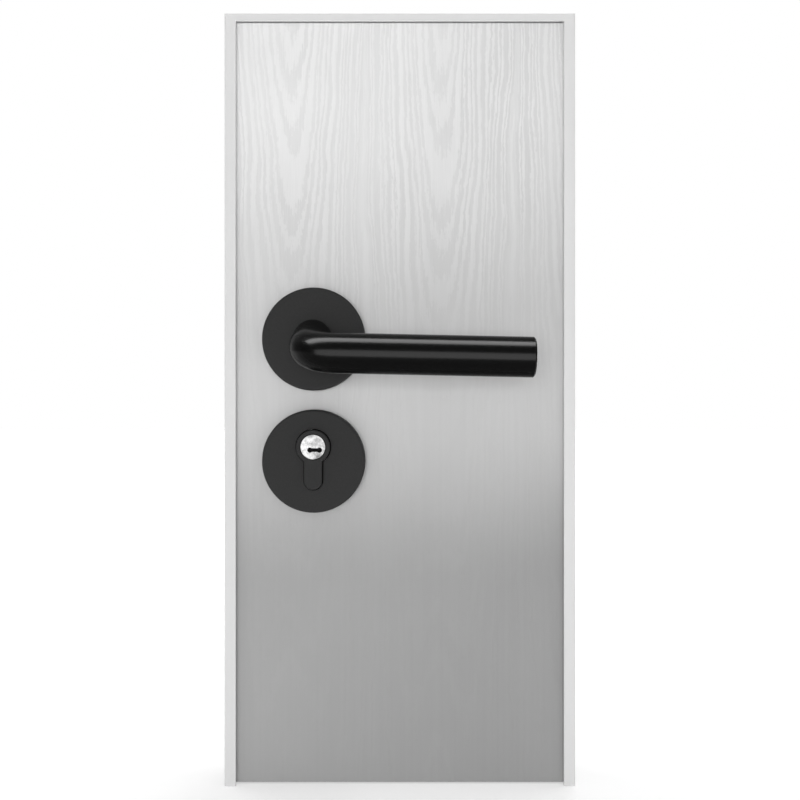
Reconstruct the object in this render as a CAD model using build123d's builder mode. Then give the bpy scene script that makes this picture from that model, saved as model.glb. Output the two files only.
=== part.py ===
"""Interior door sample: a flush veneered leaf hung in a slim three-sided frame.

The origin is on the outer face of the hinge jamb, at floor level and at mid depth.
X runs along the wall (the door lies on the negative side), the front faces -Y, and Z is up.
"""
import os

from build123d import *

# Frame of aluminium angle, open at the floor
FRAME_WIDTH = 178.0
FRAME_HEIGHT = 392.0
JAMB_FACE = 5.8
HEAD_FACE = 3.9
ANGLE_WALL = 1.5
ANGLE_CORNER_RADIUS = 0.8
ANGLE_TIP_RADIUS = 0.4

# Screw holes through both jambs
FIXING_HOLE_DIAMETER = 4.4
FIXING_LOW_HEIGHT = 120.0
FIXING_SPACING = 160.0

# Rubber seal behind the front flange
SEAL_THICKNESS = 2.2
SEAL_WIDTH = 3.4
HEAD_SEAL_WIDTH = 1.8
SEAL_ROUND = 0.8
SEAL_CLEARANCE = 0.3

# Leaf: two skins on a core, with solid lippings round the core
LEAF_THICKNESS = 25.0
SKIN_THICKNESS = 3.0
SKIN_ARRIS = 0.5
LIPPING_WIDTH = 8.0
SIDE_GAP = 3.5
HEAD_GAP = 1.6
FLOOR_GAP = 0.6

# Lever set
BACKSET = 40.5
LEVER_HEIGHT = 226.6
ROSE_DIAMETER = 52.0
ROSE_THICKNESS = 8.0
ROSE_RIM_RADIUS = 1.4
GRIP_DIAMETER = 19.0
GRIP_LENGTH = 106.4
GRIP_REACH = 45.0
GRIP_DROP = 8.6
GRIP_DROOP = 2.2
GRIP_END_CHAMFER = 0.7
NECK_STRAIGHT = 14.0
NECK_EASE_RADIUS = 30.0
ELBOW_RADIUS = 14.0
NECK_START = 1.0
NECK_CLEARANCE = 0.05
GRUB_HOLE_DIAMETER = 4.0
GRUB_HOLE_DEPTH = 3.0
GRUB_HOLE_REACH = 11.2
SPINDLE_SIZE = 8.0
SPINDLE_SOCKET_DEPTH = 12.0
SPINDLE_SOCKET_CLEARANCE = 0.1
SPINDLE_HOLE_DIAMETER = 14.0

# Profile cylinder
LOCK_CENTRES = 61.6
PLUG_RISE = 7.3
CYLINDER_DIAMETER = 17.0
CYLINDER_HEIGHT = 30.0
CYLINDER_LEG_WIDTH = 9.0
CYLINDER_PROUD = 3.0
CYLINDER_CLEARANCE = 0.5
CYLINDER_CHAMFER = 0.4
PLUG_DIAMETER = 13.0
PLUG_LENGTH = 18.0
PLUG_CLEARANCE = 0.05
PLUG_CHAMFER = 0.4
KEYWAY_LENGTH = 4.8
KEYWAY_WIDTH = 1.8
KEYWAY_DEPTH = 14.0
KEYWAY_EYE_DIAMETER = 2.6
KEYWAY_ASIDE = 0.9
KEYWAY_BELOW = 1.5

# Mortise lock
FACEPLATE_HEIGHT = 140.0
FACEPLATE_WIDTH = 16.0
FACEPLATE_THICKNESS = 2.0
FACEPLATE_CORNER_RADIUS = 7.0
FACEPLATE_CLEARANCE = 0.1
FACEPLATE_SCREW_INSET = 8.5
CYLINDER_SCREW_BELOW_PLUG = 14.0
CASE_HEIGHT = 112.0
CASE_THICKNESS = 14.0
CASE_BEYOND_SPINDLE = 16.0
CASE_CLEARANCE = 0.4
CASE_BORE_CLEARANCE = 0.05
LOCK_CENTRE_BELOW_SPINDLE = 31.6
BOLT_LENGTH = 24.0
BOLT_CLEARANCE = 0.2
BOLT_ARRIS = 0.4
LATCH_HEIGHT = 18.0
LATCH_WIDTH = 10.0
LATCH_ABOVE_SPINDLE = -2.0
LATCH_PROUD = 1.0
LATCH_BEVEL = 4.0
DEAD_BOLT_HEIGHT = 24.0
DEAD_BOLT_WIDTH = 8.0
DEAD_BOLT_ABOVE_PLUG = 8.0
STRIKE_MARGIN = 1.5

# Butt hinges on the back of the hinge side
HINGE_LENGTH = 50.0
HINGE_PLATE_THICKNESS = 1.5
HINGE_PLATE_DEPTH = 22.0
HINGE_CORNER_RADIUS = 3.0
KNUCKLE_DIAMETER = 6.4
KNUCKLE_CLEARANCE = 0.3
KNUCKLE_PLAY = 0.2
PIN_DIAMETER = 3.0
PIN_CLEARANCE = 0.05
PIN_HEAD_DIAMETER = 5.4
PIN_HEAD_LENGTH = 1.6
PIN_HEAD_ROUND = 0.9
UPPER_HINGE_BELOW_HEAD = 60.0
LOWER_HINGE_HEIGHT = 62.0

# Countersunk screw holes in the hinges and the lock's faceplate
SCREW_HOLE_DIAMETER = 2.4
SCREW_HEAD_DIAMETER = 4.4
HINGE_SCREW_SPACING = 17.5
HINGE_SCREW_EDGE = 5.0
HINGE_SCREW_STAGGER = 6.5

# Places that follow from the sizes above
FRAME_DEPTH = ANGLE_WALL + SEAL_THICKNESS + SEAL_CLEARANCE + LEAF_THICKNESS
FRAME_FRONT = -FRAME_DEPTH / 2
FRAME_BACK = FRAME_DEPTH / 2
LEAF_FRONT = FRAME_BACK - LEAF_THICKNESS
LEAF_BACK = FRAME_BACK
LEAF_MID = (LEAF_FRONT + LEAF_BACK) / 2
LEAF_RIGHT = -(ANGLE_WALL + SIDE_GAP)
LEAF_LEFT = -(FRAME_WIDTH - ANGLE_WALL - SIDE_GAP)
LEAF_BOTTOM = FLOOR_GAP
LEAF_TOP = FRAME_HEIGHT - ANGLE_WALL - HEAD_GAP
SPINDLE_X = LEAF_LEFT + BACKSET
LOCK_ROSE_HEIGHT = LEVER_HEIGHT - LOCK_CENTRES
PLUG_HEIGHT = LOCK_ROSE_HEIGHT + PLUG_RISE
LOCK_CENTRE_HEIGHT = LEVER_HEIGHT - LOCK_CENTRE_BELOW_SPINDLE
LATCH_CENTRE_HEIGHT = LEVER_HEIGHT + LATCH_ABOVE_SPINDLE
DEAD_BOLT_CENTRE_HEIGHT = PLUG_HEIGHT + DEAD_BOLT_ABOVE_PLUG
CASE_FRONT = LEAF_LEFT + FACEPLATE_THICKNESS
CASE_BACK = SPINDLE_X + CASE_BEYOND_SPINDLE
UPPER_HINGE_HEIGHT = FRAME_HEIGHT - UPPER_HINGE_BELOW_HEAD
HINGE_AXIS_X = LEAF_RIGHT + SIDE_GAP / 2
HINGE_AXIS_Y = LEAF_BACK + KNUCKLE_DIAMETER / 2 + KNUCKLE_CLEARANCE

os.makedirs("parts", exist_ok=True)


def keep(piece, node):
    piece.part.label = node
    export_step(piece.part, f"parts/{node}.step")


def span_box(x_span, y_span, z_span, mode=Mode.ADD):
    """A block between two limits along each axis, in the part that is being built."""
    spans = (x_span, y_span, z_span)
    centre = [(low + high) / 2 for low, high in spans]
    with Locations(tuple(centre)):
        Box(*[high - low for low, high in spans], mode=mode)


def facing_front(x, y, z):
    return Plane(origin=(x, y, z), x_dir=(1, 0, 0), z_dir=(0, -1, 0))


def facing_back(x, y, z):
    return Plane(origin=(x, y, z), x_dir=(-1, 0, 0), z_dir=(0, 1, 0))


# Jambs and head: lengths of angle, mitred where they meet
hinge_mitre = Plane(origin=(0, 0, FRAME_HEIGHT), z_dir=(HEAD_FACE, 0, -JAMB_FACE))
lock_mitre = Plane(origin=(-FRAME_WIDTH, 0, FRAME_HEIGHT), z_dir=(-HEAD_FACE, 0, -JAMB_FACE))


def angle_section(plane, face):
    """The angle's section: the web stands on the plane's origin and the flange points along its X axis."""
    flange_back = FRAME_FRONT + ANGLE_WALL
    with BuildSketch(plane) as section:
        with BuildLine():
            Polyline(
                (0, FRAME_FRONT),
                (face, FRAME_FRONT),
                (face, flange_back),
                (ANGLE_WALL, flange_back),
                (ANGLE_WALL, FRAME_BACK),
                (0, FRAME_BACK),
                close=True,
            )
        make_face()
        fillet(section.vertices().sort_by_distance((0, FRAME_FRONT))[:1], ANGLE_CORNER_RADIUS)
        fillet(section.vertices().group_by(Axis.X)[-1], ANGLE_TIP_RADIUS)
    return section.sketch


def fixing_holes(outer):
    for height in (FIXING_LOW_HEIGHT, FIXING_LOW_HEIGHT + FIXING_SPACING):
        with Locations(Location((outer, 0, height), (0, 90, 0))):
            Cylinder(FIXING_HOLE_DIAMETER / 2, 4 * ANGLE_WALL, mode=Mode.SUBTRACT)


def strike_hole(centre_height, bolt_height, bolt_width):
    half_height = bolt_height / 2 + STRIKE_MARGIN
    half_width = bolt_width / 2 + STRIKE_MARGIN
    span_box(
        (-FRAME_WIDTH - ANGLE_WALL, -FRAME_WIDTH + 2 * ANGLE_WALL),
        (LEAF_MID - half_width, LEAF_MID + half_width),
        (centre_height - half_height, centre_height + half_height),
        mode=Mode.SUBTRACT,
    )


with BuildPart() as hinge_jamb:
    foot = Plane(origin=(0, 0, 0), x_dir=(-1, 0, 0), z_dir=(0, 0, -1))
    extrude(angle_section(foot, JAMB_FACE), amount=-FRAME_HEIGHT)
    split(bisect_by=hinge_mitre, keep=Keep.TOP)
    fixing_holes(0)
keep(hinge_jamb, "hinge_jamb")

with BuildPart() as lock_jamb:
    foot = Plane(origin=(-FRAME_WIDTH, 0, 0), x_dir=(1, 0, 0), z_dir=(0, 0, 1))
    extrude(angle_section(foot, JAMB_FACE), amount=FRAME_HEIGHT)
    split(bisect_by=lock_mitre, keep=Keep.TOP)
    fixing_holes(-FRAME_WIDTH)
    strike_hole(LATCH_CENTRE_HEIGHT, LATCH_HEIGHT, LATCH_WIDTH)
    strike_hole(DEAD_BOLT_CENTRE_HEIGHT, DEAD_BOLT_HEIGHT, DEAD_BOLT_WIDTH)
keep(lock_jamb, "lock_jamb")

with BuildPart() as head:
    head_end = Plane(origin=(0, 0, FRAME_HEIGHT), x_dir=(0, 0, -1), z_dir=(1, 0, 0))
    extrude(angle_section(head_end, HEAD_FACE), amount=-FRAME_WIDTH)
    split(bisect_by=hinge_mitre, keep=Keep.BOTTOM)
    split(bisect_by=lock_mitre, keep=Keep.BOTTOM)
keep(head, "head")

# Seals: rubber strips glued behind the flange, rounded on the side that the leaf meets
SEAL_FRONT = FRAME_FRONT + ANGLE_WALL
SEAL_BACK = SEAL_FRONT + SEAL_THICKNESS
SEAL_TOP = FRAME_HEIGHT - ANGLE_WALL

for side, node in ((-1, "hinge_seal"), (1, "lock_seal")):
    web_face = -ANGLE_WALL if side < 0 else -FRAME_WIDTH + ANGLE_WALL
    seal_edges = sorted((web_face, web_face + side * SEAL_WIDTH))
    with BuildPart() as jamb_seal:
        span_box(seal_edges, (SEAL_FRONT, SEAL_BACK), (0, SEAL_TOP))
        fillet(jamb_seal.faces().sort_by(Axis.Y)[-1].edges().filter_by(Axis.Z), SEAL_ROUND)
    keep(jamb_seal, node)

with BuildPart() as head_seal:
    span_box(
        (-FRAME_WIDTH + ANGLE_WALL + SEAL_WIDTH, -ANGLE_WALL - SEAL_WIDTH),
        (SEAL_FRONT, SEAL_BACK),
        (SEAL_TOP - HEAD_SEAL_WIDTH, SEAL_TOP),
    )
    fillet(head_seal.faces().sort_by(Axis.Y)[-1].edges().filter_by(Axis.X), SEAL_ROUND)
keep(head_seal, "head_seal")

# Leaf: core, lippings and skins, bored for the spindle and the cylinder
CORE_FRONT = LEAF_FRONT + SKIN_THICKNESS
CORE_BACK = LEAF_BACK - SKIN_THICKNESS
CYLINDER_LEG_DROP = CYLINDER_HEIGHT - CYLINDER_DIAMETER / 2 - CYLINDER_LEG_WIDTH / 2


def cylinder_profile(plane, clearance):
    """The keyhole outline of a profile cylinder, round above and slim below, centred on the plug."""
    with BuildSketch(plane) as profile:
        Circle(CYLINDER_DIAMETER / 2 + clearance)
        with Locations((0, -CYLINDER_LEG_DROP / 2)):
            Rectangle(CYLINDER_LEG_WIDTH + 2 * clearance, CYLINDER_LEG_DROP)
        with Locations((0, -CYLINDER_LEG_DROP)):
            Circle(CYLINDER_LEG_WIDTH / 2 + clearance)
    return profile.sketch


def disc(plane, diameter):
    with BuildSketch(plane) as round_face:
        Circle(diameter / 2)
    return round_face.sketch


def bore_for_fittings(y_low, y_high, clearance):
    spindle_hole = disc(facing_back(SPINDLE_X, y_low, LEVER_HEIGHT), SPINDLE_HOLE_DIAMETER)
    cylinder_hole = cylinder_profile(facing_back(SPINDLE_X, y_low, PLUG_HEIGHT), clearance)
    extrude(spindle_hole, amount=y_high - y_low, mode=Mode.SUBTRACT)
    extrude(cylinder_hole, amount=y_high - y_low, mode=Mode.SUBTRACT)


def lock_mortise():
    half_height = CASE_HEIGHT / 2 + CASE_CLEARANCE
    half_width = CASE_THICKNESS / 2 + CASE_CLEARANCE
    span_box(
        (LEAF_LEFT, CASE_BACK + CASE_CLEARANCE),
        (LEAF_MID - half_width, LEAF_MID + half_width),
        (LOCK_CENTRE_HEIGHT - half_height, LOCK_CENTRE_HEIGHT + half_height),
        mode=Mode.SUBTRACT,
    )


with BuildPart() as leaf_core:
    span_box(
        (LEAF_LEFT + LIPPING_WIDTH, LEAF_RIGHT - LIPPING_WIDTH),
        (CORE_FRONT, CORE_BACK),
        (LEAF_BOTTOM + LIPPING_WIDTH, LEAF_TOP - LIPPING_WIDTH),
    )
    lock_mortise()
    bore_for_fittings(CORE_FRONT, CORE_BACK, CYLINDER_CLEARANCE)
keep(leaf_core, "leaf_core")


def faceplate_outline(clearance):
    plane = Plane(origin=(LEAF_LEFT, LEAF_MID, LOCK_CENTRE_HEIGHT), x_dir=(0, 1, 0), z_dir=(1, 0, 0))
    with BuildSketch(plane) as outline:
        RectangleRounded(
            FACEPLATE_WIDTH + 2 * clearance,
            FACEPLATE_HEIGHT + 2 * clearance,
            FACEPLATE_CORNER_RADIUS + clearance,
        )
    return outline.sketch


with BuildPart() as lock_lipping:
    span_box((LEAF_LEFT, LEAF_LEFT + LIPPING_WIDTH), (CORE_FRONT, CORE_BACK), (LEAF_BOTTOM, LEAF_TOP))
    extrude(faceplate_outline(FACEPLATE_CLEARANCE), amount=FACEPLATE_THICKNESS, mode=Mode.SUBTRACT)
    lock_mortise()
keep(lock_lipping, "lock_lipping")

with BuildPart() as hinge_lipping:
    span_box((LEAF_RIGHT - LIPPING_WIDTH, LEAF_RIGHT), (CORE_FRONT, CORE_BACK), (LEAF_BOTTOM, LEAF_TOP))
keep(hinge_lipping, "hinge_lipping")

for low, node in ((LEAF_BOTTOM, "bottom_lipping"), (LEAF_TOP - LIPPING_WIDTH, "top_lipping")):
    with BuildPart() as cross_lipping:
        span_box(
            (LEAF_LEFT + LIPPING_WIDTH, LEAF_RIGHT - LIPPING_WIDTH),
            (CORE_FRONT, CORE_BACK),
            (low, low + LIPPING_WIDTH),
        )
    keep(cross_lipping, node)

for y_low, outer, node in ((LEAF_FRONT, 0, "front_skin"), (CORE_BACK, -1, "back_skin")):
    with BuildPart() as skin:
        span_box((LEAF_LEFT, LEAF_RIGHT), (y_low, y_low + SKIN_THICKNESS), (LEAF_BOTTOM, LEAF_TOP))
        fillet(skin.faces().sort_by(Axis.Y)[outer].edges(), SKIN_ARRIS)
        bore_for_fittings(y_low, y_low + SKIN_THICKNESS, CYLINDER_CLEARANCE)
    keep(skin, node)


# Mortise lock: case, faceplate, and both bolts drawn back
def screw_hole(place, outward, depth):
    """A countersunk hole through a plate whose open face looks along X, to the side that outward gives."""
    with Locations(Location(place, (0, 90 * outward, 0))):
        CounterSinkHole(SCREW_HOLE_DIAMETER / 2, SCREW_HEAD_DIAMETER / 2, depth)


def bolt_room(centre_height, bolt_height, bolt_width, x_span):
    half_height = bolt_height / 2 + BOLT_CLEARANCE
    half_width = bolt_width / 2 + BOLT_CLEARANCE
    span_box(
        x_span,
        (LEAF_MID - half_width, LEAF_MID + half_width),
        (centre_height - half_height, centre_height + half_height),
        mode=Mode.SUBTRACT,
    )


bolts = (
    ("latch_bolt", LATCH_CENTRE_HEIGHT, LATCH_HEIGHT, LATCH_WIDTH, LATCH_PROUD),
    ("dead_bolt", DEAD_BOLT_CENTRE_HEIGHT, DEAD_BOLT_HEIGHT, DEAD_BOLT_WIDTH, 0.0),
)
with BuildPart() as lock_case:
    span_box(
        (CASE_FRONT, CASE_BACK),
        (LEAF_MID - CASE_THICKNESS / 2, LEAF_MID + CASE_THICKNESS / 2),
        (LOCK_CENTRE_HEIGHT - CASE_HEIGHT / 2, LOCK_CENTRE_HEIGHT + CASE_HEIGHT / 2),
    )
    bore_for_fittings(LEAF_FRONT, LEAF_BACK, CASE_BORE_CLEARANCE)
    for node, centre, height, width, proud in bolts:
        bolt_room(centre, height, width, (CASE_FRONT, LEAF_LEFT - proud + BOLT_LENGTH))
keep(lock_case, "lock_case")

with BuildPart() as lock_faceplate:
    extrude(faceplate_outline(0), amount=FACEPLATE_THICKNESS)
    for node, centre, height, width, proud in bolts:
        bolt_room(centre, height, width, (LEAF_LEFT, CASE_FRONT))
    screw_rise = FACEPLATE_HEIGHT / 2 - FACEPLATE_SCREW_INSET
    cylinder_screw = PLUG_HEIGHT - CYLINDER_SCREW_BELOW_PLUG
    for height in (LOCK_CENTRE_HEIGHT - screw_rise, cylinder_screw, LOCK_CENTRE_HEIGHT + screw_rise):
        screw_hole((LEAF_LEFT, LEAF_MID, height), -1, FACEPLATE_THICKNESS)
keep(lock_faceplate, "lock_faceplate")

for node, centre, height, width, proud in bolts:
    nose = LEAF_LEFT - proud
    with BuildPart() as bolt:
        span_box(
            (nose, nose + BOLT_LENGTH),
            (LEAF_MID - width / 2, LEAF_MID + width / 2),
            (centre - height / 2, centre + height / 2),
        )
        if proud:
            leading = bolt.faces().sort_by(Axis.X)[0].edges().filter_by(Axis.Z).sort_by(Axis.Y)[0]
            chamfer(leading, LATCH_BEVEL)
        chamfer(bolt.faces().sort_by(Axis.X)[0].edges(), BOLT_ARRIS)
    keep(bolt, node)

# Roses: round cover plates on both faces, under the levers and round the cylinder
sides = (("front", facing_front, LEAF_FRONT, -1), ("back", facing_back, LEAF_BACK, 1))
for side, facing, leaf_face, outward in sides:
    with BuildPart() as lever_rose:
        extrude(disc(facing(SPINDLE_X, leaf_face, LEVER_HEIGHT), ROSE_DIAMETER), amount=ROSE_THICKNESS)
        rim = lever_rose.faces().sort_by(Axis.Y)[-1 if outward > 0 else 0].edges()
        fillet(rim, ROSE_RIM_RADIUS)
        neck_bore = disc(facing(SPINDLE_X, leaf_face, LEVER_HEIGHT), GRIP_DIAMETER + 2 * NECK_CLEARANCE)
        extrude(neck_bore, amount=ROSE_THICKNESS, mode=Mode.SUBTRACT)
    keep(lever_rose, f"{side}_lever_rose")

    with BuildPart() as lock_rose:
        extrude(disc(facing(SPINDLE_X, leaf_face, LOCK_ROSE_HEIGHT), ROSE_DIAMETER), amount=ROSE_THICKNESS)
        rim = lock_rose.faces().sort_by(Axis.Y)[-1 if outward > 0 else 0].edges()
        fillet(rim, ROSE_RIM_RADIUS)
        cylinder_hole = cylinder_profile(facing(SPINDLE_X, leaf_face, PLUG_HEIGHT), CYLINDER_CLEARANCE)
        extrude(cylinder_hole, amount=ROSE_THICKNESS, mode=Mode.SUBTRACT)
    keep(lock_rose, f"{side}_lock_rose")

# Levers: one round bar bent out of the rose and along the leaf, with a socket for the spindle
for side, facing, leaf_face, outward in sides:
    neck_start = (SPINDLE_X, leaf_face + outward * NECK_START, LEVER_HEIGHT)
    neck_bend = (SPINDLE_X, leaf_face + outward * NECK_STRAIGHT, LEVER_HEIGHT)
    grip_y = leaf_face + outward * GRIP_REACH
    elbow = (SPINDLE_X, grip_y, LEVER_HEIGHT - GRIP_DROP)
    grip_end = (SPINDLE_X + GRIP_LENGTH, grip_y, LEVER_HEIGHT - GRIP_DROP - GRIP_DROOP)
    with BuildPart() as lever:
        with BuildLine() as lever_path:
            FilletPolyline(neck_start, neck_bend, elbow, grip_end, radius=[NECK_EASE_RADIUS, ELBOW_RADIUS])
        with BuildSketch(facing(*neck_start)):
            Circle(GRIP_DIAMETER / 2)
        sweep(path=lever_path.line)
        end_rim = lever.faces().filter_by(GeomType.PLANE).sort_by(Axis.X)[-1].edges()
        chamfer(end_rim, GRIP_END_CHAMFER)
        with BuildSketch(facing(*neck_start)):
            Rectangle(
                SPINDLE_SIZE + 2 * SPINDLE_SOCKET_CLEARANCE,
                SPINDLE_SIZE + 2 * SPINDLE_SOCKET_CLEARANCE,
            )
        extrude(amount=SPINDLE_SOCKET_DEPTH, mode=Mode.SUBTRACT)
        with Locations((SPINDLE_X, leaf_face + outward * GRUB_HOLE_REACH, LEVER_HEIGHT - GRIP_DIAMETER / 2)):
            Cylinder(GRUB_HOLE_DIAMETER / 2, 2 * GRUB_HOLE_DEPTH, mode=Mode.SUBTRACT)
    keep(lever, f"{side}_lever")

spindle_reach = NECK_START + SPINDLE_SOCKET_DEPTH
with BuildPart() as spindle:
    span_box(
        (SPINDLE_X - SPINDLE_SIZE / 2, SPINDLE_X + SPINDLE_SIZE / 2),
        (LEAF_FRONT - spindle_reach, LEAF_BACK + spindle_reach),
        (LEVER_HEIGHT - SPINDLE_SIZE / 2, LEVER_HEIGHT + SPINDLE_SIZE / 2),
    )
keep(spindle, "spindle")

# Profile cylinder with a plug at each end
CYLINDER_STAND = ROSE_THICKNESS + CYLINDER_PROUD
with BuildPart() as lock_cylinder:
    cylinder_end = facing_back(SPINDLE_X, LEAF_FRONT - CYLINDER_STAND, PLUG_HEIGHT)
    extrude(cylinder_profile(cylinder_end, 0), amount=LEAF_THICKNESS + 2 * CYLINDER_STAND)
    ends = lock_cylinder.faces().filter_by(Axis.Y).sort_by(Axis.Y)
    chamfer(ends[0].edges() + ends[-1].edges(), CYLINDER_CHAMFER)
    for side, facing, leaf_face, outward in sides:
        plug_face = facing(SPINDLE_X, leaf_face + outward * CYLINDER_STAND, PLUG_HEIGHT)
        plug_bore = disc(plug_face, PLUG_DIAMETER + 2 * PLUG_CLEARANCE)
        extrude(plug_bore, amount=-PLUG_LENGTH, mode=Mode.SUBTRACT)
keep(lock_cylinder, "lock_cylinder")

for side, facing, leaf_face, outward in sides:
    plug_face = facing(SPINDLE_X, leaf_face + outward * CYLINDER_STAND, PLUG_HEIGHT)
    with BuildPart() as plug:
        extrude(disc(plug_face, PLUG_DIAMETER), amount=-PLUG_LENGTH)
        chamfer(plug.faces().sort_by(Axis.Y)[-1 if outward > 0 else 0].edges(), PLUG_CHAMFER)
        with BuildSketch(plug_face):
            with Locations((KEYWAY_ASIDE, -KEYWAY_BELOW)):
                Rectangle(KEYWAY_LENGTH, KEYWAY_WIDTH)
                with Locations((-KEYWAY_LENGTH / 2, 0), (KEYWAY_LENGTH / 2, 0)):
                    Circle(KEYWAY_EYE_DIAMETER / 2)
        extrude(amount=-KEYWAY_DEPTH, mode=Mode.SUBTRACT)
    keep(plug, f"{side}_plug")

# Hinges: the frame plate carries the outer knuckles, the leaf plate the middle one
KNUCKLE_LENGTH = HINGE_LENGTH / 3
KNUCKLE_ROOM = KNUCKLE_DIAMETER / 2 + KNUCKLE_CLEARANCE
PLATE_Y_SPAN = (HINGE_AXIS_Y - HINGE_PLATE_DEPTH, HINGE_AXIS_Y)


def hinge_axis(height):
    return Plane.XY.offset(height).shift_origin((HINGE_AXIS_X, HINGE_AXIS_Y, height))


def hinge_plate(plate_x_span, outward, plate_z_span, knuckles, gaps):
    """A flat plate with its own knuckles, cut back beside the knuckles of the other plate."""
    span_box(plate_x_span, PLATE_Y_SPAN, plate_z_span)
    for gap in gaps:
        span_box(plate_x_span, (HINGE_AXIS_Y - KNUCKLE_ROOM, HINGE_AXIS_Y), gap, mode=Mode.SUBTRACT)
    for low, high in knuckles:
        extrude(disc(hinge_axis(low), KNUCKLE_DIAMETER), amount=high - low)
    low, high = plate_z_span
    pin_bore = disc(hinge_axis(low), PIN_DIAMETER + 2 * PIN_CLEARANCE)
    extrude(pin_bore, amount=high - low, mode=Mode.SUBTRACT)
    open_face = max(plate_x_span) if outward > 0 else min(plate_x_span)
    for step, stagger in ((-1, 0), (0, HINGE_SCREW_STAGGER), (1, 0)):
        screw_y = PLATE_Y_SPAN[0] + HINGE_SCREW_EDGE + stagger
        screw_z = (low + high) / 2 + step * HINGE_SCREW_SPACING
        screw_hole((open_face, screw_y, screw_z), outward, HINGE_PLATE_THICKNESS)


for name, centre in (("upper", UPPER_HINGE_HEIGHT), ("lower", LOWER_HINGE_HEIGHT)):
    bottom = centre - HINGE_LENGTH / 2
    top = centre + HINGE_LENGTH / 2
    frame_knuckles = ((bottom, bottom + KNUCKLE_LENGTH), (top - KNUCKLE_LENGTH, top))
    leaf_knuckle = (bottom + KNUCKLE_LENGTH + KNUCKLE_PLAY, top - KNUCKLE_LENGTH - KNUCKLE_PLAY)
    middle_gap = (bottom + KNUCKLE_LENGTH, top - KNUCKLE_LENGTH)
    end_gaps = ((bottom, leaf_knuckle[0]), (leaf_knuckle[1], top))

    with BuildPart() as frame_plate:
        hinge_plate(
            (-ANGLE_WALL - HINGE_PLATE_THICKNESS, -ANGLE_WALL),
            -1,
            (bottom, top),
            frame_knuckles,
            (middle_gap,),
        )
        fillet(frame_plate.edges().filter_by(Axis.X).group_by(Axis.Y)[0], HINGE_CORNER_RADIUS)
    keep(frame_plate, f"{name}_hinge_frame_plate")

    with BuildPart() as leaf_plate:
        hinge_plate(
            (LEAF_RIGHT, LEAF_RIGHT + HINGE_PLATE_THICKNESS),
            1,
            (bottom, top),
            (leaf_knuckle,),
            end_gaps,
        )
        fillet(leaf_plate.edges().filter_by(Axis.X).group_by(Axis.Y)[0], HINGE_CORNER_RADIUS)
    keep(leaf_plate, f"{name}_hinge_leaf_plate")

    with BuildPart() as pin:
        extrude(disc(hinge_axis(bottom), PIN_DIAMETER), amount=HINGE_LENGTH)
        for height, growth in ((bottom, -PIN_HEAD_LENGTH), (top, PIN_HEAD_LENGTH)):
            extrude(disc(hinge_axis(height), PIN_HEAD_DIAMETER), amount=growth)
        crowns = pin.faces().filter_by(Axis.Z).sort_by(Axis.Z)
        fillet(crowns[0].edges() + crowns[-1].edges(), PIN_HEAD_ROUND)
    keep(pin, f"{name}_hinge_pin")
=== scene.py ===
import math

import bpy
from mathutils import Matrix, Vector


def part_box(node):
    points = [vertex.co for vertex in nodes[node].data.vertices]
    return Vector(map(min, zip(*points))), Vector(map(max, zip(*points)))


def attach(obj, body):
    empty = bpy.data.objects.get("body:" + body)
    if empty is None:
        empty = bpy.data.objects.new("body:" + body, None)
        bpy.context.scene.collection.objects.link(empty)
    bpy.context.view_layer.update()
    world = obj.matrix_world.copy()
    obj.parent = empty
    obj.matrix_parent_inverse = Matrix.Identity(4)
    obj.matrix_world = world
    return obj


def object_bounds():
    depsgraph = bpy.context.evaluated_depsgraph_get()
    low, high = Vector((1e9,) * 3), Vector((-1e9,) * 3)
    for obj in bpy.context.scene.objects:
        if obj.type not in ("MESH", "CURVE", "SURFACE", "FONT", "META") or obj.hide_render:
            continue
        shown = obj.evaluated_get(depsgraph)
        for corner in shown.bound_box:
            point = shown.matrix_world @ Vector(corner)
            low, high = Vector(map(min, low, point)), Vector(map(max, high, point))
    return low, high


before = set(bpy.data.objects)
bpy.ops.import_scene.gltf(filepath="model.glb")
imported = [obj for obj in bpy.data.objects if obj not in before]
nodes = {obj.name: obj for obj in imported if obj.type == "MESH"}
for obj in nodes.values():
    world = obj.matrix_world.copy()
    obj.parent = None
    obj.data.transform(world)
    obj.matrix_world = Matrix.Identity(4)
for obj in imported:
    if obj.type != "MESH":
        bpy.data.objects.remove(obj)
cad_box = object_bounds()

# Frame: two jambs and a head of aluminium angle, mitred at the corners.
# The lengths are powder coated light grey, with the faint orange peel that such a coat has.
# The round holes in the jambs' webs take the screws that hold them in the wall.
FRAME_GREY = 0.73
FRAME_ROUGHNESS = 0.42
PEEL_SCALE = 900.0
PEEL_DEPTH = 0.00003
PEEL_SHADE = 0.985


def new_finish(name, roughness, metallic=0.0, specular=0.5):
    """A material with its tree and shader, ready for a pattern."""
    finish = bpy.data.materials.new(name)
    finish.use_nodes = True
    shader = finish.node_tree.nodes["Principled BSDF"]
    shader.inputs["Roughness"].default_value = roughness
    shader.inputs["Metallic"].default_value = metallic
    shader.inputs["Specular IOR Level"].default_value = specular
    return finish, finish.node_tree, shader


def add_node(tree, kind, sockets=None, **settings):
    """A node whose inputs are set by name or number, each to a value or to another node's output."""
    made = tree.nodes.new(kind)
    for name, value in settings.items():
        setattr(made, name, value)
    for socket, value in (sockets or {}).items():
        if isinstance(value, bpy.types.NodeSocket):
            tree.links.new(value, made.inputs[socket])
        else:
            made.inputs[socket].default_value = value
    return made


def stretched_noise(tree, scale, detail=2.0):
    """Noise on the piece's own coordinates, with its own grain size along each axis."""
    place = add_node(tree, "ShaderNodeTexCoord")
    mapping = add_node(tree, "ShaderNodeMapping", {"Vector": place.outputs["Object"], "Scale": scale})
    noise = add_node(tree, "ShaderNodeTexNoise", {
        "Vector": mapping.outputs["Vector"],
        "Scale": 1.0,
        "Detail": detail,
    })
    return noise.outputs["Fac"]


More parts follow.
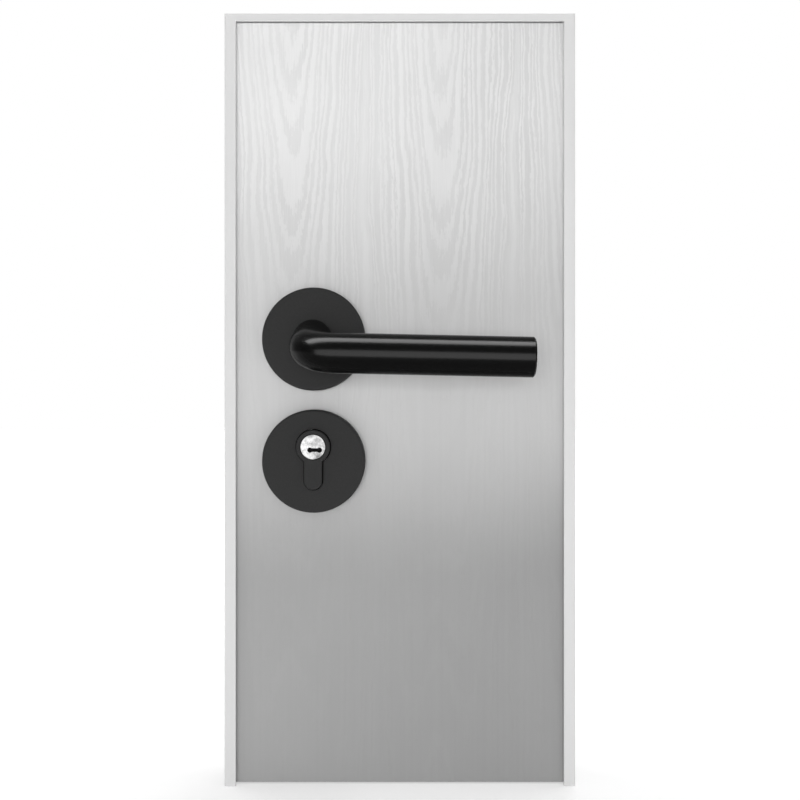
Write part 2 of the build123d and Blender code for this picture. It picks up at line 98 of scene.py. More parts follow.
def tone_between(tree, factor, dark, light):
    """A grey that runs from dark to light with a pattern."""
    tone = add_node(tree, "ShaderNodeMapRange", {"Value": factor, "From Min": 0.3, "From Max": 0.7})
    tone.inputs["To Min"].default_value = dark
    tone.inputs["To Max"].default_value = light
    return tone.outputs["Result"]


def rough_surface(tree, shader, height, depth):
    """Raises the surface by a pattern, in metres."""
    bump = add_node(tree, "ShaderNodeBump", {"Height": height, "Distance": depth, "Strength": 1.0})
    tree.links.new(bump.outputs["Normal"], shader.inputs["Normal"])


def powder_coat():
    finish, tree, shader = new_finish("frame_paint", FRAME_ROUGHNESS, specular=0.35)
    peel = stretched_noise(tree, (PEEL_SCALE, PEEL_SCALE, PEEL_SCALE))
    tree.links.new(tone_between(tree, peel, FRAME_GREY * PEEL_SHADE, FRAME_GREY), shader.inputs["Base Color"])
    rough_surface(tree, shader, peel, PEEL_DEPTH)
    return finish


def dress(finish, *names):
    """Gives CAD pieces their finish."""
    for name in names:
        nodes[name].data.materials.clear()
        nodes[name].data.materials.append(finish)


frame_paint = powder_coat()
dress(frame_paint, "hinge_jamb", "lock_jamb", "head")

# Seals: strips of light grey rubber behind the front flange, which the leaf closes against.
# They are extruded and glued in, dull, with a fine grain along their length.
SEAL_GREY = 0.78
SEAL_GRAIN = (3000.0, 3000.0, 150.0)
SEAL_GRAIN_DEPTH = 0.00004


def seal_rubber():
    finish, tree, shader = new_finish("grey_rubber", 0.8, specular=0.2)
    grain = stretched_noise(tree, SEAL_GRAIN)
    tree.links.new(tone_between(tree, grain, SEAL_GREY * 0.85, SEAL_GREY), shader.inputs["Base Color"])
    rough_surface(tree, shader, grain, SEAL_GRAIN_DEPTH)
    return finish


dress(seal_rubber(), "hinge_seal", "lock_seal", "head_seal")

# Leaf: two veneered skins on a core, with solid lippings of the same wood on all four edges.
# The veneer is slip-matched flat-cut wood. Its grey is painted shade, pale at the head and mid grey at the
# foot, as light falling from above gives it, and painted shade also makes it darker towards the hinge side.
# Its arches point down, one row to each sheet, and fade under the painted shade towards the foot.
leaf_low, leaf_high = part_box("front_skin")
VENEER_SHEET = 0.0762
FIRST_HEART = leaf_low.x + 0.0285
RING_PITCH = 0.0023
HEART_DEPTH = 0.017
HEART_REACH = 0.018
ARCH_HEIGHT = leaf_low.z + 0.3
TRUNK_TAPER = 0.072
SWAY = 0.011
TEETH = 0.0014
FINE_TEETH = 0.0011
UNEVEN_RINGS = 2.2
# Painted shade: the veneer's grey at the foot, which the steps further down raise towards the pale head.
FOOT_PAINTED_SHADE = 0.36
GRAIN_CONTRAST = 0.13
GRAIN_SUNK = 0.14
# Painted shade: how much darker the veneer is painted towards the hinge side.
HINGE_SIDE_PAINTED_SHADE = 0.12
CLOUDING = 0.14
STREAKING = 0.05
FIBRE = 0.8
SWAY_GRAIN = (40.0, 40.0, 13.0)
TEETH_GRAIN = (1300.0, 1300.0, 75.0)
FINE_TEETH_GRAIN = (800.0, 800.0, 380.0)
FIGURE_GRAIN = (38.0, 38.0, 9.0)
FIBRE_GRAIN = (2400.0, 2400.0, 90.0)
STREAK_GRAIN = (600.0, 600.0, 5.0)
CLOUD_GRAIN = (17.0, 17.0, 11.0)
# Painted shade: the steps by which the veneer's grey rises from the foot to the pale head.
PAINTED_SHADE_STEPS = ((0.26, 0.5, 0.23), (0.56, 0.92, 0.18))
GRAIN_DEPTH = 0.00004
LIPPING_DARK = 0.84
LIPPING_LIGHT = 1.0
UPRIGHT_GRAIN = (700.0, 700.0, 9.0)
CROSS_GRAIN = (9.0, 700.0, 700.0)
LIPPING_GRAIN_DEPTH = 0.00008


def calc(tree, operation, first, second=0.0, third=0.0):
    """The result of one sum, as an output to link on."""
    made = add_node(tree, "ShaderNodeMath", {0: first, 1: second, 2: third}, operation=operation)
    return made.outputs["Value"]


def spread(tree, factor, amount):
    """A pattern between 0 and 1 turned into a push to both sides."""
    return calc(tree, "MULTIPLY_ADD", factor, amount, -amount / 2)


def growth_rings(tree, x, z):
    """The arches of a flat cut: rings round the heart of each sheet, drawn out by the trunk's taper."""
    sway = spread(tree, stretched_noise(tree, SWAY_GRAIN, detail=3.0), SWAY)
    across = calc(tree, "ADD", calc(tree, "SUBTRACT", x, FIRST_HEART), sway)
    from_heart = calc(tree, "WRAP", across, VENEER_SHEET / 2, -VENEER_SHEET / 2)
    square = calc(tree, "MULTIPLY", from_heart, from_heart)
    radius = calc(tree, "SQRT", calc(tree, "ADD", square, HEART_DEPTH**2))
    pull = calc(tree, "DIVIDE", TRUNK_TAPER, calc(tree, "MULTIPLY_ADD", square, 1 / HEART_REACH**2, 1.0))
    rise = calc(tree, "SUBTRACT", z, ARCH_HEIGHT)
    tapered = calc(tree, "SUBTRACT", radius, calc(tree, "MULTIPLY", pull, rise))
    toothed = calc(tree, "ADD", tapered, spread(tree, stretched_noise(tree, TEETH_GRAIN), TEETH))
    ragged = spread(tree, stretched_noise(tree, FINE_TEETH_GRAIN), FINE_TEETH)
    count = calc(tree, "DIVIDE", calc(tree, "ADD", toothed, ragged), RING_PITCH)
    years = add_node(
        tree, "ShaderNodeTexNoise", {"W": count, "Scale": 0.45, "Detail": 1.0}, noise_dimensions="1D"
    )
    return calc(tree, "ADD", count, spread(tree, years.outputs["Fac"], UNEVEN_RINGS))


def leaf_painted_shade(tree, z):
    """Painted shade on the veneer: its grey runs from the dark foot to the pale head in two soft steps."""
    height = calc(tree, "DIVIDE", calc(tree, "SUBTRACT", z, leaf_low.z), leaf_high.z - leaf_low.z)
    tone = FOOT_PAINTED_SHADE
    for low, high, gain in PAINTED_SHADE_STEPS:
        step = add_node(
            tree,
            "ShaderNodeMapRange",
            {"Value": height, "From Min": low, "From Max": high},
            interpolation_type="SMOOTHSTEP",
        )
        step.inputs["To Max"].default_value = gain
        tone = calc(tree, "ADD", tone, step.outputs["Result"])
    return height, tone


def veneer():
    finish, tree, shader = new_finish("grey_veneer", 0.5, specular=0.3)
    place = add_node(tree, "ShaderNodeTexCoord")
    axes = add_node(tree, "ShaderNodeSeparateXYZ", {"Vector": place.outputs["Object"]})
    x, z = axes.outputs["X"], axes.outputs["Z"]
    # Painted shade, from the dark foot to the pale head.
    height, tone = leaf_painted_shade(tree, z)
    wave = calc(tree, "COSINE", calc(tree, "MULTIPLY", growth_rings(tree, x, z), 2 * math.pi))
    band = add_node(
        tree,
        "ShaderNodeMapRange",
        {"Value": wave, "From Min": -0.5, "From Max": 0.7},
        interpolation_type="SMOOTHSTEP",
    )
    band.inputs["To Min"].default_value = -0.5
    band.inputs["To Max"].default_value = 0.5
    strength = add_node(tree, "ShaderNodeMapRange", {
        "Value": stretched_noise(tree, FIGURE_GRAIN),
        "From Min": 0.3,
        "From Max": 0.7,
    })
    strength.inputs["To Min"].default_value = 0.25
    fibre = spread(tree, stretched_noise(tree, FIBRE_GRAIN, detail=3.0), FIBRE)
    grain = calc(tree, "MULTIPLY_ADD", band.outputs["Result"], strength.outputs["Result"], fibre)
    seen = add_node(
        tree,
        "ShaderNodeMapRange",
        {"Value": height, "From Min": 0.5, "From Max": 0.8},
        interpolation_type="SMOOTHSTEP",
    )
    seen.inputs["To Min"].default_value = GRAIN_CONTRAST * GRAIN_SUNK
    seen.inputs["To Max"].default_value = GRAIN_CONTRAST
    streak = spread(tree, stretched_noise(tree, STREAK_GRAIN), STREAKING)
    cloud = spread(tree, stretched_noise(tree, CLOUD_GRAIN), CLOUDING)
    drawn = calc(tree, "MULTIPLY_ADD", grain, seen.outputs["Result"], calc(tree, "ADD", streak, cloud))
    # Painted shade: the veneer is painted darker towards the hinge side.
    aside = add_node(
        tree,
        "ShaderNodeMapRange",
        {"Value": x, "From Min": leaf_low.x, "From Max": leaf_high.x},
        interpolation_type="SMOOTHSTEP",
    )
    aside.inputs["To Min"].default_value = 1.0 + HINGE_SIDE_PAINTED_SHADE / 2
    aside.inputs["To Max"].default_value = 1.0 - HINGE_SIDE_PAINTED_SHADE / 2
    shade = calc(tree, "MULTIPLY", tone, calc(tree, "ADD", drawn, aside.outputs["Result"]))
    tree.links.new(shade, shader.inputs["Base Color"])
    rough_surface(tree, shader, calc(tree, "ADD", band.outputs["Result"], fibre), GRAIN_DEPTH)
    return finish


def lipping_wood(name, grain_scale):
    """Solid strips sawn along the grain, so that only straight lines show, with the veneer's painted shade
    from foot to head.
    """
    finish, tree, shader = new_finish(name, 0.55, specular=0.3)
    place = add_node(tree, "ShaderNodeTexCoord")
    axes = add_node(tree, "ShaderNodeSeparateXYZ", {"Vector": place.outputs["Object"]})
    # Painted shade, as on the veneer, from the dark foot to the pale head.
    height, tone = leaf_painted_shade(tree, axes.outputs["Z"])
    lines = stretched_noise(tree, grain_scale, detail=4.0)
    drawn = tone_between(tree, lines, LIPPING_DARK, LIPPING_LIGHT)
    tree.links.new(calc(tree, "MULTIPLY", tone, drawn), shader.inputs["Base Color"])
    rough_surface(tree, shader, lines, LIPPING_GRAIN_DEPTH)
    return finish


dress(veneer(), "front_skin", "back_skin")
dress(lipping_wood("upright_lipping", UPRIGHT_GRAIN), "lock_lipping", "hinge_lipping")
dress(lipping_wood("cross_lipping", CROSS_GRAIN), "top_lipping", "bottom_lipping")

# Core: a plain board between the skins, seen only where the lock and spindle pass through it.
# It is pressed from brown chips and left raw.
CHIP_DARK = (0.22, 0.14, 0.07, 1)
CHIP_LIGHT = (0.52, 0.38, 0.22, 1)
CHIP_SCALE = 400.0
CHIP_DEPTH = 0.0002


def chip_board():
    finish, tree, shader = new_finish("core_board", 0.9, specular=0.2)
    chips = stretched_noise(tree, (CHIP_SCALE, CHIP_SCALE, CHIP_SCALE), detail=5.0)
    ramp = add_node(tree, "ShaderNodeValToRGB", {"Fac": chips})
    ramp.color_ramp.elements[0].color = CHIP_DARK
    ramp.color_ramp.elements[1].color = CHIP_LIGHT
    tree.links.new(ramp.outputs["Color"], shader.inputs["Base Color"])
    rough_surface(tree, shader, chips, CHIP_DEPTH)
    return finish


dress(chip_board(), "leaf_core")

# Hinges: two steel butts on the back of the hinge side, with a loose pin through three knuckles.
# Plates and pins are stamped and drawn, then brushed along their length to a satin shine.
STEEL_GREY = 0.56
STEEL_BRUSHING = (5000.0, 5000.0, 120.0)
BRUSHING_DEPTH = 0.00002


def brushed_steel(name, grey, roughness, scale):
    finish, tree, shader = new_finish(name, roughness, metallic=1.0)
    brush = stretched_noise(tree, scale)
    tree.links.new(tone_between(tree, brush, grey * 0.8, grey), shader.inputs["Base Color"])
    rough_surface(tree, shader, brush, BRUSHING_DEPTH)
    return finish


satin_steel = brushed_steel("satin_steel", STEEL_GREY, 0.34, STEEL_BRUSHING)
for hinge in ("upper_hinge", "lower_hinge"):
    dress(satin_steel, f"{hinge}_frame_plate", f"{hinge}_leaf_plate", f"{hinge}_pin")

# Mortise lock: a zinc-plated case in the leaf's edge behind a brushed faceplate, with both bolts drawn back.
# The bolts are cast and nickelled, with a fine grain and a soft shine.
NICKEL_GREY = 0.55
NICKEL_MARKS = (2500.0, 2500.0, 2500.0)
NICKEL_DEPTH = 0.000015
ZINC_GREY = 0.5
ZINC_SPANGLE = (1800.0, 1800.0, 1800.0)


def nickel():
    finish, tree, shader = new_finish("nickel", 0.27, metallic=1.0)
    marks = stretched_noise(tree, NICKEL_MARKS)
    tree.links.new(tone_between(tree, marks, NICKEL_GREY * 0.85, NICKEL_GREY), shader.inputs["Base Color"])
    rough_surface(tree, shader, marks, NICKEL_DEPTH)
    return finish


zinc_steel = brushed_steel("zinc_steel", ZINC_GREY, 0.45, ZINC_SPANGLE)
dress(satin_steel, "lock_faceplate")
dress(zinc_steel, "lock_case")
dress(nickel(), "latch_bolt", "dead_bolt")

# Screws: countersunk cross-head screws hold the hinge plates and the lock's faceplate.
# Each is a turned head with a stamped cross, driven flush with its plate.
SCREW_HEAD = 0.00205
SCREW_DEPTH = 0.0010
SCREW_SUNK = 0.00012
PLATE_THICKNESS = 0.0015
CROSS_LENGTH = 0.0026
CROSS_WIDTH = 0.0006
CROSS_DEPTH = 0.0006
HINGE_SCREW_EDGE = 0.005
HINGE_SCREW_STAGGER = 0.0065
HINGE_SCREW_SPACING = 0.0175
FACEPLATE_SCREW_INSET = 0.0085
CYLINDER_SCREW_DROP = 0.0225
SCREW_GREY = 0.4
SCREW_SPANGLE = (2200.0, 2200.0, 2200.0)


def screw_tree():
    """Puts a screw head on each point of a mesh, sunk behind the point and facing along its facing."""
    tree = bpy.data.node_groups.new("screw_heads", "GeometryNodeTree")
    tree.interface.new_socket("Geometry", in_out="INPUT", socket_type="NodeSocketGeometry")
    for name in ("Head Radius", "Depth", "Sunk", "Cross Length", "Cross Width", "Cross Depth"):
        tree.interface.new_socket(name, in_out="INPUT", socket_type="NodeSocketFloat")
    tree.interface.new_socket("Finish", in_out="INPUT", socket_type="NodeSocketMaterial")
    tree.interface.new_socket("Geometry", in_out="OUTPUT", socket_type="NodeSocketGeometry")
    given = tree.nodes.new("NodeGroupInput").outputs
    shank = calc(tree, "MULTIPLY_ADD", given["Depth"], -0.8, given["Head Radius"])
    cone = add_node(tree, "GeometryNodeMeshCone", {
        "Vertices": 32,
        "Radius Top": given["Head Radius"],
        "Radius Bottom": shank,
        "Depth": given["Depth"],
    })
    arm_depth = calc(tree, "MULTIPLY", given["Cross Depth"], 2.0)
    arm_size = add_node(tree, "ShaderNodeCombineXYZ", {
        "X": given["Cross Length"],
        "Y": given["Cross Width"],
        "Z": arm_depth,
    })
    arm = add_node(tree, "GeometryNodeMeshCube", {"Size": arm_size.outputs["Vector"]})
    lift = add_node(tree, "ShaderNodeCombineXYZ", {"Z": given["Depth"]})
    cut = add_node(tree, "GeometryNodeMeshBoolean", {"Mesh 1": cone.outputs["Mesh"]}, operation="DIFFERENCE")
    for turn in (math.pi / 4, 3 * math.pi / 4):
        bar = add_node(tree, "GeometryNodeTransform", {
            "Geometry": arm.outputs["Mesh"],
            "Translation": lift.outputs["Vector"],
            "Rotation": (0.0, 0.0, turn),
        })
        tree.links.new(bar.outputs["Geometry"], cut.inputs["Mesh 2"])
    below = calc(tree, "MULTIPLY_ADD", given["Depth"], -1.0, calc(tree, "MULTIPLY", given["Sunk"], -1.0))
    sink = add_node(tree, "ShaderNodeCombineXYZ", {"Z": below})
    sunk = add_node(tree, "GeometryNodeTransform", {
        "Geometry": cut.outputs["Mesh"],
        "Translation": sink.outputs["Vector"],
    })
    facing = add_node(tree, "GeometryNodeInputNamedAttribute", {"Name": "facing"}, data_type="FLOAT_VECTOR")
    turned = add_node(
        tree, "FunctionNodeAlignRotationToVector", {"Vector": facing.outputs["Attribute"]}, axis="Z"
    )
    points = add_node(tree, "GeometryNodeMeshToPoints", {"Mesh": given["Geometry"]})
    placed = add_node(tree, "GeometryNodeInstanceOnPoints", {
        "Points": points.outputs["Points"],
        "Instance": sunk.outputs["Geometry"],
        "Rotation": turned.outputs["Rotation"],
    })
    real = add_node(tree, "GeometryNodeRealizeInstances", {"Geometry": placed.outputs["Instances"]})
    painted = add_node(tree, "GeometryNodeSetMaterial", {
        "Geometry": real.outputs["Geometry"],
        "Material": given["Finish"],
    })
    result = tree.nodes.new("NodeGroupOutput")
    tree.links.new(painted.outputs["Geometry"], result.inputs["Geometry"])
    return tree


def drive_screws(name, body, seats, tree, settings):
    """Screws at the given points, each with the way its head faces, as one mesh on a body."""
    mesh = bpy.data.meshes.new(name)
    mesh.from_pydata([place for place, facing in seats], [], [])
    facings = mesh.attributes.new("facing", "FLOAT_VECTOR", "POINT")
    for item, (place, facing) in zip(facings.data, seats):
        item.vector = facing
    piece = bpy.data.objects.new(name, mesh)
    bpy.context.scene.collection.objects.link(piece)
    modifier = piece.modifiers.new("screws", "NODES")
    modifier.node_group = tree
    for item in tree.interface.items_tree:
        if item.name in settings:
            modifier[item.identifier] = settings[item.name]
    evaluated = piece.evaluated_get(bpy.context.evaluated_depsgraph_get())
    piece.data = bpy.data.meshes.new_from_object(evaluated)
    piece.modifiers.clear()
    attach(piece, body)


screw_zinc = brushed_steel("screw_zinc", SCREW_GREY, 0.38, SCREW_SPANGLE)
cross_heads = screw_tree()
cross_sizes = {
    "Head Radius": SCREW_HEAD,
    "Depth": SCREW_DEPTH,
    "Sunk": SCREW_SUNK,
    "Cross Length": CROSS_LENGTH,
    "Cross Width": CROSS_WIDTH,
    "Cross Depth": CROSS_DEPTH,
    "Finish": screw_zinc,
}
frame_seats = []
leaf_seats = []
for hinge in ("upper_hinge", "lower_hinge"):
    leaf_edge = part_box("hinge_lipping")[1].x
    low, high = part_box(f"{hinge}_frame_plate")
    pin_low, pin_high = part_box(f"{hinge}_pin")
    axis_x = (pin_low.x + pin_high.x) / 2
    play = axis_x - leaf_edge - PLATE_THICKNESS
    for step, stagger in ((-1, 0.0), (0, HINGE_SCREW_STAGGER), (1, 0.0)):
        y = low.y + HINGE_SCREW_EDGE + stagger
        z = (low.z + high.z) / 2 + step * HINGE_SCREW_SPACING
        frame_seats.append(((axis_x + play, y, z), (-1, 0, 0)))
        leaf_seats.append(((axis_x - play, y, z), (1, 0, 0)))
low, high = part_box("lock_faceplate")
cylinder_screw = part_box("lock_cylinder")[1].z - CYLINDER_SCREW_DROP
for z in (low.z + FACEPLATE_SCREW_INSET, cylinder_screw, high.z - FACEPLATE_SCREW_INSET):
    leaf_seats.append(((low.x, (low.y + high.y) / 2, z), (-1, 0, 0)))
drive_screws("frame_screws", "frame", frame_seats, cross_heads, cross_sizes)
drive_screws("leaf_screws", "leaf", leaf_seats, cross_heads, cross_sizes)

# Roses and cylinder: pressed steel covers and a drawn brass body, both coated matt black.
# The covers snap over hidden bases, so nothing shows but their flat faces and rounded rims.
ROSE_GREY = 0.028
COAT_SCALE = 1500.0
COAT_DEPTH = 0.00002


def matt_black():
    finish, tree, shader = new_finish("black_metal", 0.55, specular=0.2)
    coat = stretched_noise(tree, (COAT_SCALE, COAT_SCALE, COAT_SCALE))
    tree.links.new(tone_between(tree, coat, ROSE_GREY * 0.85, ROSE_GREY), shader.inputs["Base Color"])
    rough_surface(tree, shader, coat, COAT_DEPTH)
    return finish


rose_black = matt_black()
for face in ("front", "back"):
    dress(rose_black, f"{face}_lever_rose", f"{face}_lock_rose")
dress(rose_black, "lock_cylinder")

# Plugs: turned nickelled brass with the lathe's rings, mottled on the face as a painted reflection, and
# painted near black in the keyway as painted shade.
# The front one turns with the key.
PLUG_FACE_DEPTH = 0.0003
RING_WIDTH = 0.00055
# Painted reflection: the plug's face is mottled dark and bright, between the two greys that follow.
MOTTLE_SCALE = 300.0
PAINTED_REFLECTION_DARK = 0.2
PAINTED_REFLECTION_LIGHT = 0.95
# Painted shade: the near black of the keyway and of all but the plug's thin end faces.
KEYWAY_PAINTED_SHADE = 0.01
TURNED_DEPTH = 0.00002
front_low, front_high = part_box("front_plug")
back_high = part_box("back_plug")[1]
plug_x = (front_low.x + front_high.x) / 2
plug_z = (front_low.z + front_high.z) / 2


def turned_nickel():
    finish, tree, shader = new_finish("plug_nickel", 0.22, metallic=1.0)
    place = add_node(tree, "ShaderNodeTexCoord")
    axes = add_node(tree, "ShaderNodeSeparateXYZ", {"Vector": place.outputs["Object"]})
    side = calc(tree, "SUBTRACT", axes.outputs["X"], plug_x)
    rise = calc(tree, "SUBTRACT", axes.outputs["Z"], plug_z)
    radius = calc(tree, "SQRT", calc(tree, "MULTIPLY_ADD", side, side, calc(tree, "MULTIPLY", rise, rise)))
    rings = calc(tree, "SINE", calc(tree, "MULTIPLY", radius, 2 * math.pi / RING_WIDTH))
    # Painted reflection: dark and bright patches on the plug's face.
    mottle = stretched_noise(tree, (MOTTLE_SCALE, MOTTLE_SCALE, MOTTLE_SCALE), detail=3.0)
    painted_reflection = tone_between(tree, mottle, PAINTED_REFLECTION_DARK, PAINTED_REFLECTION_LIGHT)
    half = (back_high.y - front_low.y) / 2 - PLUG_FACE_DEPTH
    middle = (back_high.y + front_low.y) / 2
    from_middle = calc(tree, "ABSOLUTE", calc(tree, "SUBTRACT", axes.outputs["Y"], middle))
    # Painted shade: all but the thin end faces, the keyway's walls among them, is painted near black and
    # barely metallic.
    on_face = calc(tree, "GREATER_THAN", from_middle, half)
    tone = calc(tree, "MULTIPLY_ADD", on_face, calc(tree, "SUBTRACT", painted_reflection, KEYWAY_PAINTED_SHADE), KEYWAY_PAINTED_SHADE)
    tree.links.new(tone, shader.inputs["Base Color"])
    tree.links.new(calc(tree, "MULTIPLY_ADD", on_face, 0.9, 0.1), shader.inputs["Metallic"])
    rough_surface(tree, shader, calc(tree, "MULTIPLY_ADD", mottle, 3.0, rings), TURNED_DEPTH)
    return finish


dress(turned_nickel(), "front_plug", "back_plug")

# Levers: round bar bent out of the rose and along the leaf, coated black with a sharper sheen.
# Each slides on a square steel spindle through the lock, and a grub screw under its neck holds it there.
LEVER_BLACK = 0.003
LEVER_COAT_SCALE = 900.0
NECK_RADIUS = 0.0095
GRUB_RADIUS = 0.0019
GRUB_LENGTH = 0.0016
GRUB_SUNK = 0.0012
GRUB_REACH = 0.0112
GRUB_SOCKET = 0.0011
GRUB_SOCKET_DEPTH = 0.001


def satin_black():
    finish, tree, shader = new_finish("lever_black", 0.2, specular=0.045)
    coat = stretched_noise(tree, (LEVER_COAT_SCALE, LEVER_COAT_SCALE, LEVER_COAT_SCALE))
    tree.links.new(tone_between(tree, coat, LEVER_BLACK * 0.7, LEVER_BLACK), shader.inputs["Base Color"])
    roughness = add_node(tree, "ShaderNodeMapRange", {"Value": coat, "To Min": 0.17, "To Max": 0.25})
    tree.links.new(roughness.outputs["Result"], shader.inputs["Roughness"])
    return finish


def grub_tree():
    """Puts a grub screw with a six-sided socket at each point of a mesh, its socket downwards."""
    tree = bpy.data.node_groups.new("grub_screws", "GeometryNodeTree")
    tree.interface.new_socket("Geometry", in_out="INPUT", socket_type="NodeSocketGeometry")
    for name in ("Radius", "Length", "Socket Radius", "Socket Depth"):
        tree.interface.new_socket(name, in_out="INPUT", socket_type="NodeSocketFloat")
    tree.interface.new_socket("Finish", in_out="INPUT", socket_type="NodeSocketMaterial")
    tree.interface.new_socket("Geometry", in_out="OUTPUT", socket_type="NodeSocketGeometry")
    given = tree.nodes.new("NodeGroupInput").outputs
    body = add_node(tree, "GeometryNodeMeshCylinder", {
        "Vertices": 32,
        "Radius": given["Radius"],
        "Depth": given["Length"],
    })
    socket = add_node(tree, "GeometryNodeMeshCylinder", {
        "Vertices": 6,
        "Radius": given["Socket Radius"],
        "Depth": calc(tree, "MULTIPLY", given["Socket Depth"], 2.0),
    })
    drop = add_node(tree, "ShaderNodeCombineXYZ", {"Z": calc(tree, "MULTIPLY", given["Length"], -0.5)})
    mouth = add_node(tree, "GeometryNodeTransform", {
        "Geometry": socket.outputs["Mesh"],
        "Translation": drop.outputs["Vector"],
    })
    cut = add_node(tree, "GeometryNodeMeshBoolean", {"Mesh 1": body.outputs["Mesh"]}, operation="DIFFERENCE")
    tree.links.new(mouth.outputs["Geometry"], cut.inputs["Mesh 2"])
    points = add_node(tree, "GeometryNodeMeshToPoints", {"Mesh": given["Geometry"]})
    placed = add_node(tree, "GeometryNodeInstanceOnPoints", {
        "Points": points.outputs["Points"],
        "Instance": cut.outputs["Mesh"],
    })
    real = add_node(tree, "GeometryNodeRealizeInstances", {"Geometry": placed.outputs["Instances"]})
    painted = add_node(tree, "GeometryNodeSetMaterial", {
        "Geometry": real.outputs["Geometry"],
        "Material": given["Finish"],
    })
    result = tree.nodes.new("NodeGroupOutput")
    tree.links.new(painted.outputs["Geometry"], result.inputs["Geometry"])
    return tree


dress(satin_black(), "front_lever", "back_lever")
dress(zinc_steel, "spindle")
rose_low, rose_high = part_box("front_lever_rose")
grub_x = (rose_low.x + rose_high.x) / 2
grub_z = (rose_low.z + rose_high.z) / 2 - NECK_RADIUS + GRUB_SUNK + GRUB_LENGTH / 2
back_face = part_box("back_skin")[1].y
grub_seats = [((grub_x, y, grub_z), (0, 0, -1)) for y in (leaf_low.y - GRUB_REACH, back_face + GRUB_REACH)]
grub_sizes = {
    "Radius": GRUB_RADIUS,
    "Length": GRUB_LENGTH,
    "Socket Radius": GRUB_SOCKET,
    "Socket Depth": GRUB_SOCKET_DEPTH,
    "Finish": screw_zinc,
}
drive_screws("grub_screws", "lever", grub_seats, grub_tree(), grub_sizes)

# Studio: a pale floor that runs on as the background, soft lights in front, behind, above and at the sides,
# two long lights that give only the levers their sheen, and a camera square to the door.
centre_x = (cad_box[0].x + cad_box[1].x) / 2
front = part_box("hinge_jamb")[0].y
PIXEL = 0.507e-3
PICTURE = 800
CAMERA_DISTANCE = 0.507
SENSOR = 36.0
FLOOR_REACH = 6.0
FLOOR_GREY = 0.85
GLOW = 1.7
NEAR_SHARE = 0.27
FAR_SHARE = 0.62
AMBIENT = 0.42
CEILING_SHADE = 0.7
SIDE_SHADE = 0.65
LAMP_HEIGHT = 0.2
LAMP_CEILING = 2.0


def pale_ground(name, light, near_share, far_share):
    """White to the eye, with most of its shading kept near the door, so that it takes the shadow."""
    finish = bpy.data.materials.new(name)
    finish.use_nodes = True
    tree = finish.node_tree
    shader = tree.nodes["Principled BSDF"]
    shader.inputs["Base Color"].default_value = (light, light, light, 1)
    shader.inputs["Roughness"].default_value = 0.9
    shader.inputs["Specular IOR Level"].default_value = 0.0
    glow = add_node(tree, "ShaderNodeEmission", {"Color": (1, 1, 1, 1), "Strength": GLOW})
    mixed = add_node(tree, "ShaderNodeMixShader", {1: shader.outputs[0], 2: glow.outputs[0]})
    path = add_node(tree, "ShaderNodeLightPath")
    seen = calc(tree, "MAXIMUM", path.outputs["Is Camera Ray"], path.outputs["Is Glossy Ray"])
    seen = calc(tree, "MAXIMUM", seen, path.outputs["Is Transmission Ray"])
    place = add_node(tree, "ShaderNodeTexCoord")
    away = add_node(tree, "ShaderNodeVectorMath", {0: place.outputs["Object"]}, operation="LENGTH")
    share = add_node(tree, "ShaderNodeMapRange", {
        "Value": away.outputs["Value"],
        "From Min": 0.2,
        "From Max": 1.0,
    })
    share.inputs["To Min"].default_value = near_share
    share.inputs["To Max"].default_value = far_share
    tree.links.new(calc(tree, "MULTIPLY", seen, share.outputs["Result"]), mixed.inputs[0])
    tree.links.new(mixed.outputs[0], tree.nodes["Material Output"].inputs["Surface"])
    return finish


floor_mesh = bpy.data.meshes.new("floor")
floor_mesh.from_pydata(
    [(centre_x + sx * FLOOR_REACH, sy * FLOOR_REACH, 0.0) for sx, sy in ((-1, -1), (1, -1), (1, 1), (-1, 1))],
    [],
    [(0, 1, 2, 3)],
)
floor = bpy.data.objects.new("floor", floor_mesh)
bpy.context.scene.collection.objects.link(floor)
floor.data.materials.append(pale_ground("floor_white", FLOOR_GREY, NEAR_SHARE, FAR_SHARE))

world = bpy.data.worlds.new("studio")
bpy.context.scene.world = world
world.use_nodes = True
sky = world.node_tree
path = add_node(sky, "ShaderNodeLightPath")
seen = calc(sky, "MAXIMUM", path.outputs["Is Camera Ray"], path.outputs["Is Glossy Ray"])
seen = calc(sky, "MAXIMUM", seen, path.outputs["Is Transmission Ray"])
strength = add_node(sky, "ShaderNodeMapRange", {"Value": seen, "To Min": AMBIENT, "To Max": 1.0})
around = add_node(sky, "ShaderNodeTexCoord")
towards = add_node(sky, "ShaderNodeSeparateXYZ", {"Vector": around.outputs["Generated"]})
ceiling = add_node(sky, "ShaderNodeMapRange", {
    "Value": towards.outputs["Z"],
    "From Min": 0.1,
    "From Max": 0.9,
})
ceiling.inputs["To Max"].default_value = CEILING_SHADE
aside = add_node(sky, "ShaderNodeMapRange", {
    "Value": calc(sky, "ABSOLUTE", towards.outputs["X"]),
    "From Min": 0.35,
    "From Max": 0.95,
})
aside.inputs["To Max"].default_value = SIDE_SHADE
flags = calc(sky, "MAXIMUM", ceiling.outputs["Result"], aside.outputs["Result"])
dimmed = calc(sky, "MULTIPLY", flags, path.outputs["Is Glossy Ray"])
lit = calc(sky, "SUBTRACT", strength.outputs["Result"], dimmed)
sky.nodes["Background"].inputs["Color"].default_value = (1, 1, 1, 1)
sky.links.new(lit, sky.nodes["Background"].inputs["Strength"])


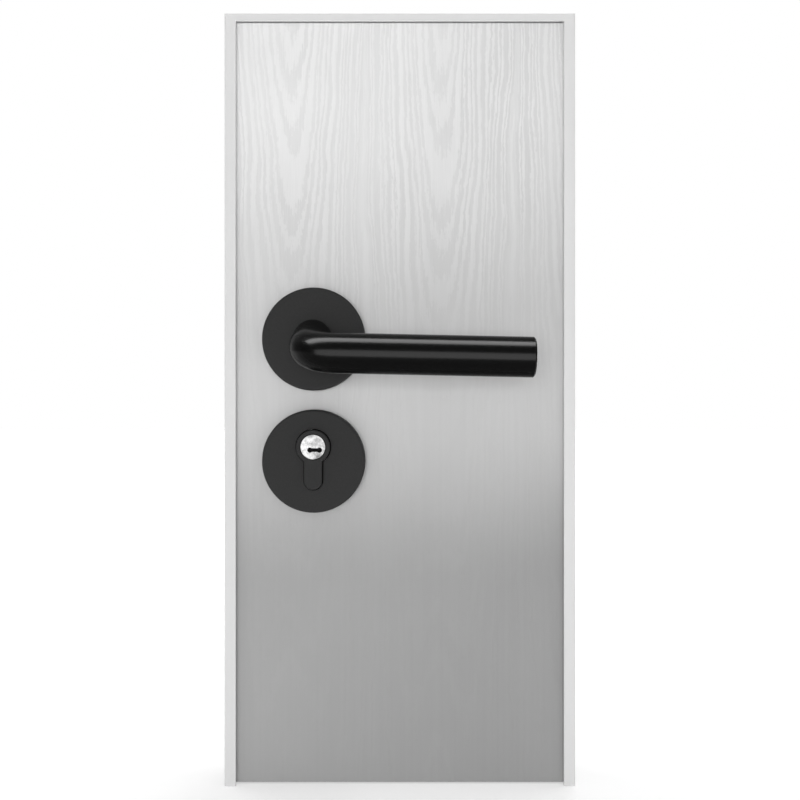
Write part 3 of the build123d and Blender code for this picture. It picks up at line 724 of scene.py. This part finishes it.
def soft_light(name, place, target, width, height, watts):
    """A rectangle of light that faces its target and isn't seen itself."""
    lamp = bpy.data.lights.new(name, "AREA")
    lamp.shape = "RECTANGLE"
    lamp.size = width
    lamp.size_y = height
    lamp.energy = watts
    light = bpy.data.objects.new(name, lamp)
    light.location = place
    light.rotation_mode = "QUATERNION"
    light.rotation_quaternion = (Vector(target) - Vector(place)).to_track_quat("-Z", "Y")
    light.visible_camera = False
    bpy.context.scene.collection.objects.link(light)
    return light


middle = Vector((centre_x, front, LAMP_HEIGHT))
fills = (
    soft_light("key", middle + Vector((-0.1, -1.5, 0.0)), middle, 0.7, 0.5, 11.3),
    soft_light("back", middle + Vector((0.5, 1.5, 0.6)), middle, 1.0, 1.0, 8.5),
    soft_light("left", middle + Vector((-1.5, 0.7, 0.4)), middle, 1.0, 1.0, 7.0),
    soft_light("right", middle + Vector((1.5, 0.7, 0.4)), middle, 1.0, 1.0, 7.0),
    soft_light("above", (centre_x, 0.0, LAMP_CEILING), (centre_x, 0.0, LAMP_HEIGHT), 0.4, 0.4, 9.0),
)
for fill in fills:
    fill.visible_glossy = False
levers = bpy.data.collections.new("levers")
levers.objects.link(nodes["front_lever"])
levers.objects.link(nodes["back_lever"])
sheens = (
    soft_light("sheen_above", middle + Vector((0.0, -0.17, 0.6)), middle, 1.6, 0.28, 53.0),
    soft_light("sheen_before", middle + Vector((0.0, -0.65, 0.0)), middle, 1.6, 0.38, 22.5),
)
for sheen in sheens:
    sheen.visible_diffuse = False
    sheen.light_linking.receiver_collection = levers

camera_data = bpy.data.cameras.new("camera")
camera_data.sensor_width = SENSOR
camera_data.lens = SENSOR * CAMERA_DISTANCE / (PICTURE * PIXEL)
camera = bpy.data.objects.new("camera", camera_data)
DOOR_LEFT_PIXEL = 224.3
DOOR_FOOT_PIXEL = 786.3
camera.location = (
    cad_box[0].x + (PICTURE / 2 - DOOR_LEFT_PIXEL) * PIXEL,
    front - CAMERA_DISTANCE,
    (DOOR_FOOT_PIXEL - PICTURE / 2) * PIXEL,
)
camera.rotation_euler = (math.pi / 2, 0.0, 0.0)
bpy.context.scene.collection.objects.link(camera)
bpy.context.scene.camera = camera
bpy.context.scene.view_settings.view_transform = "Standard"
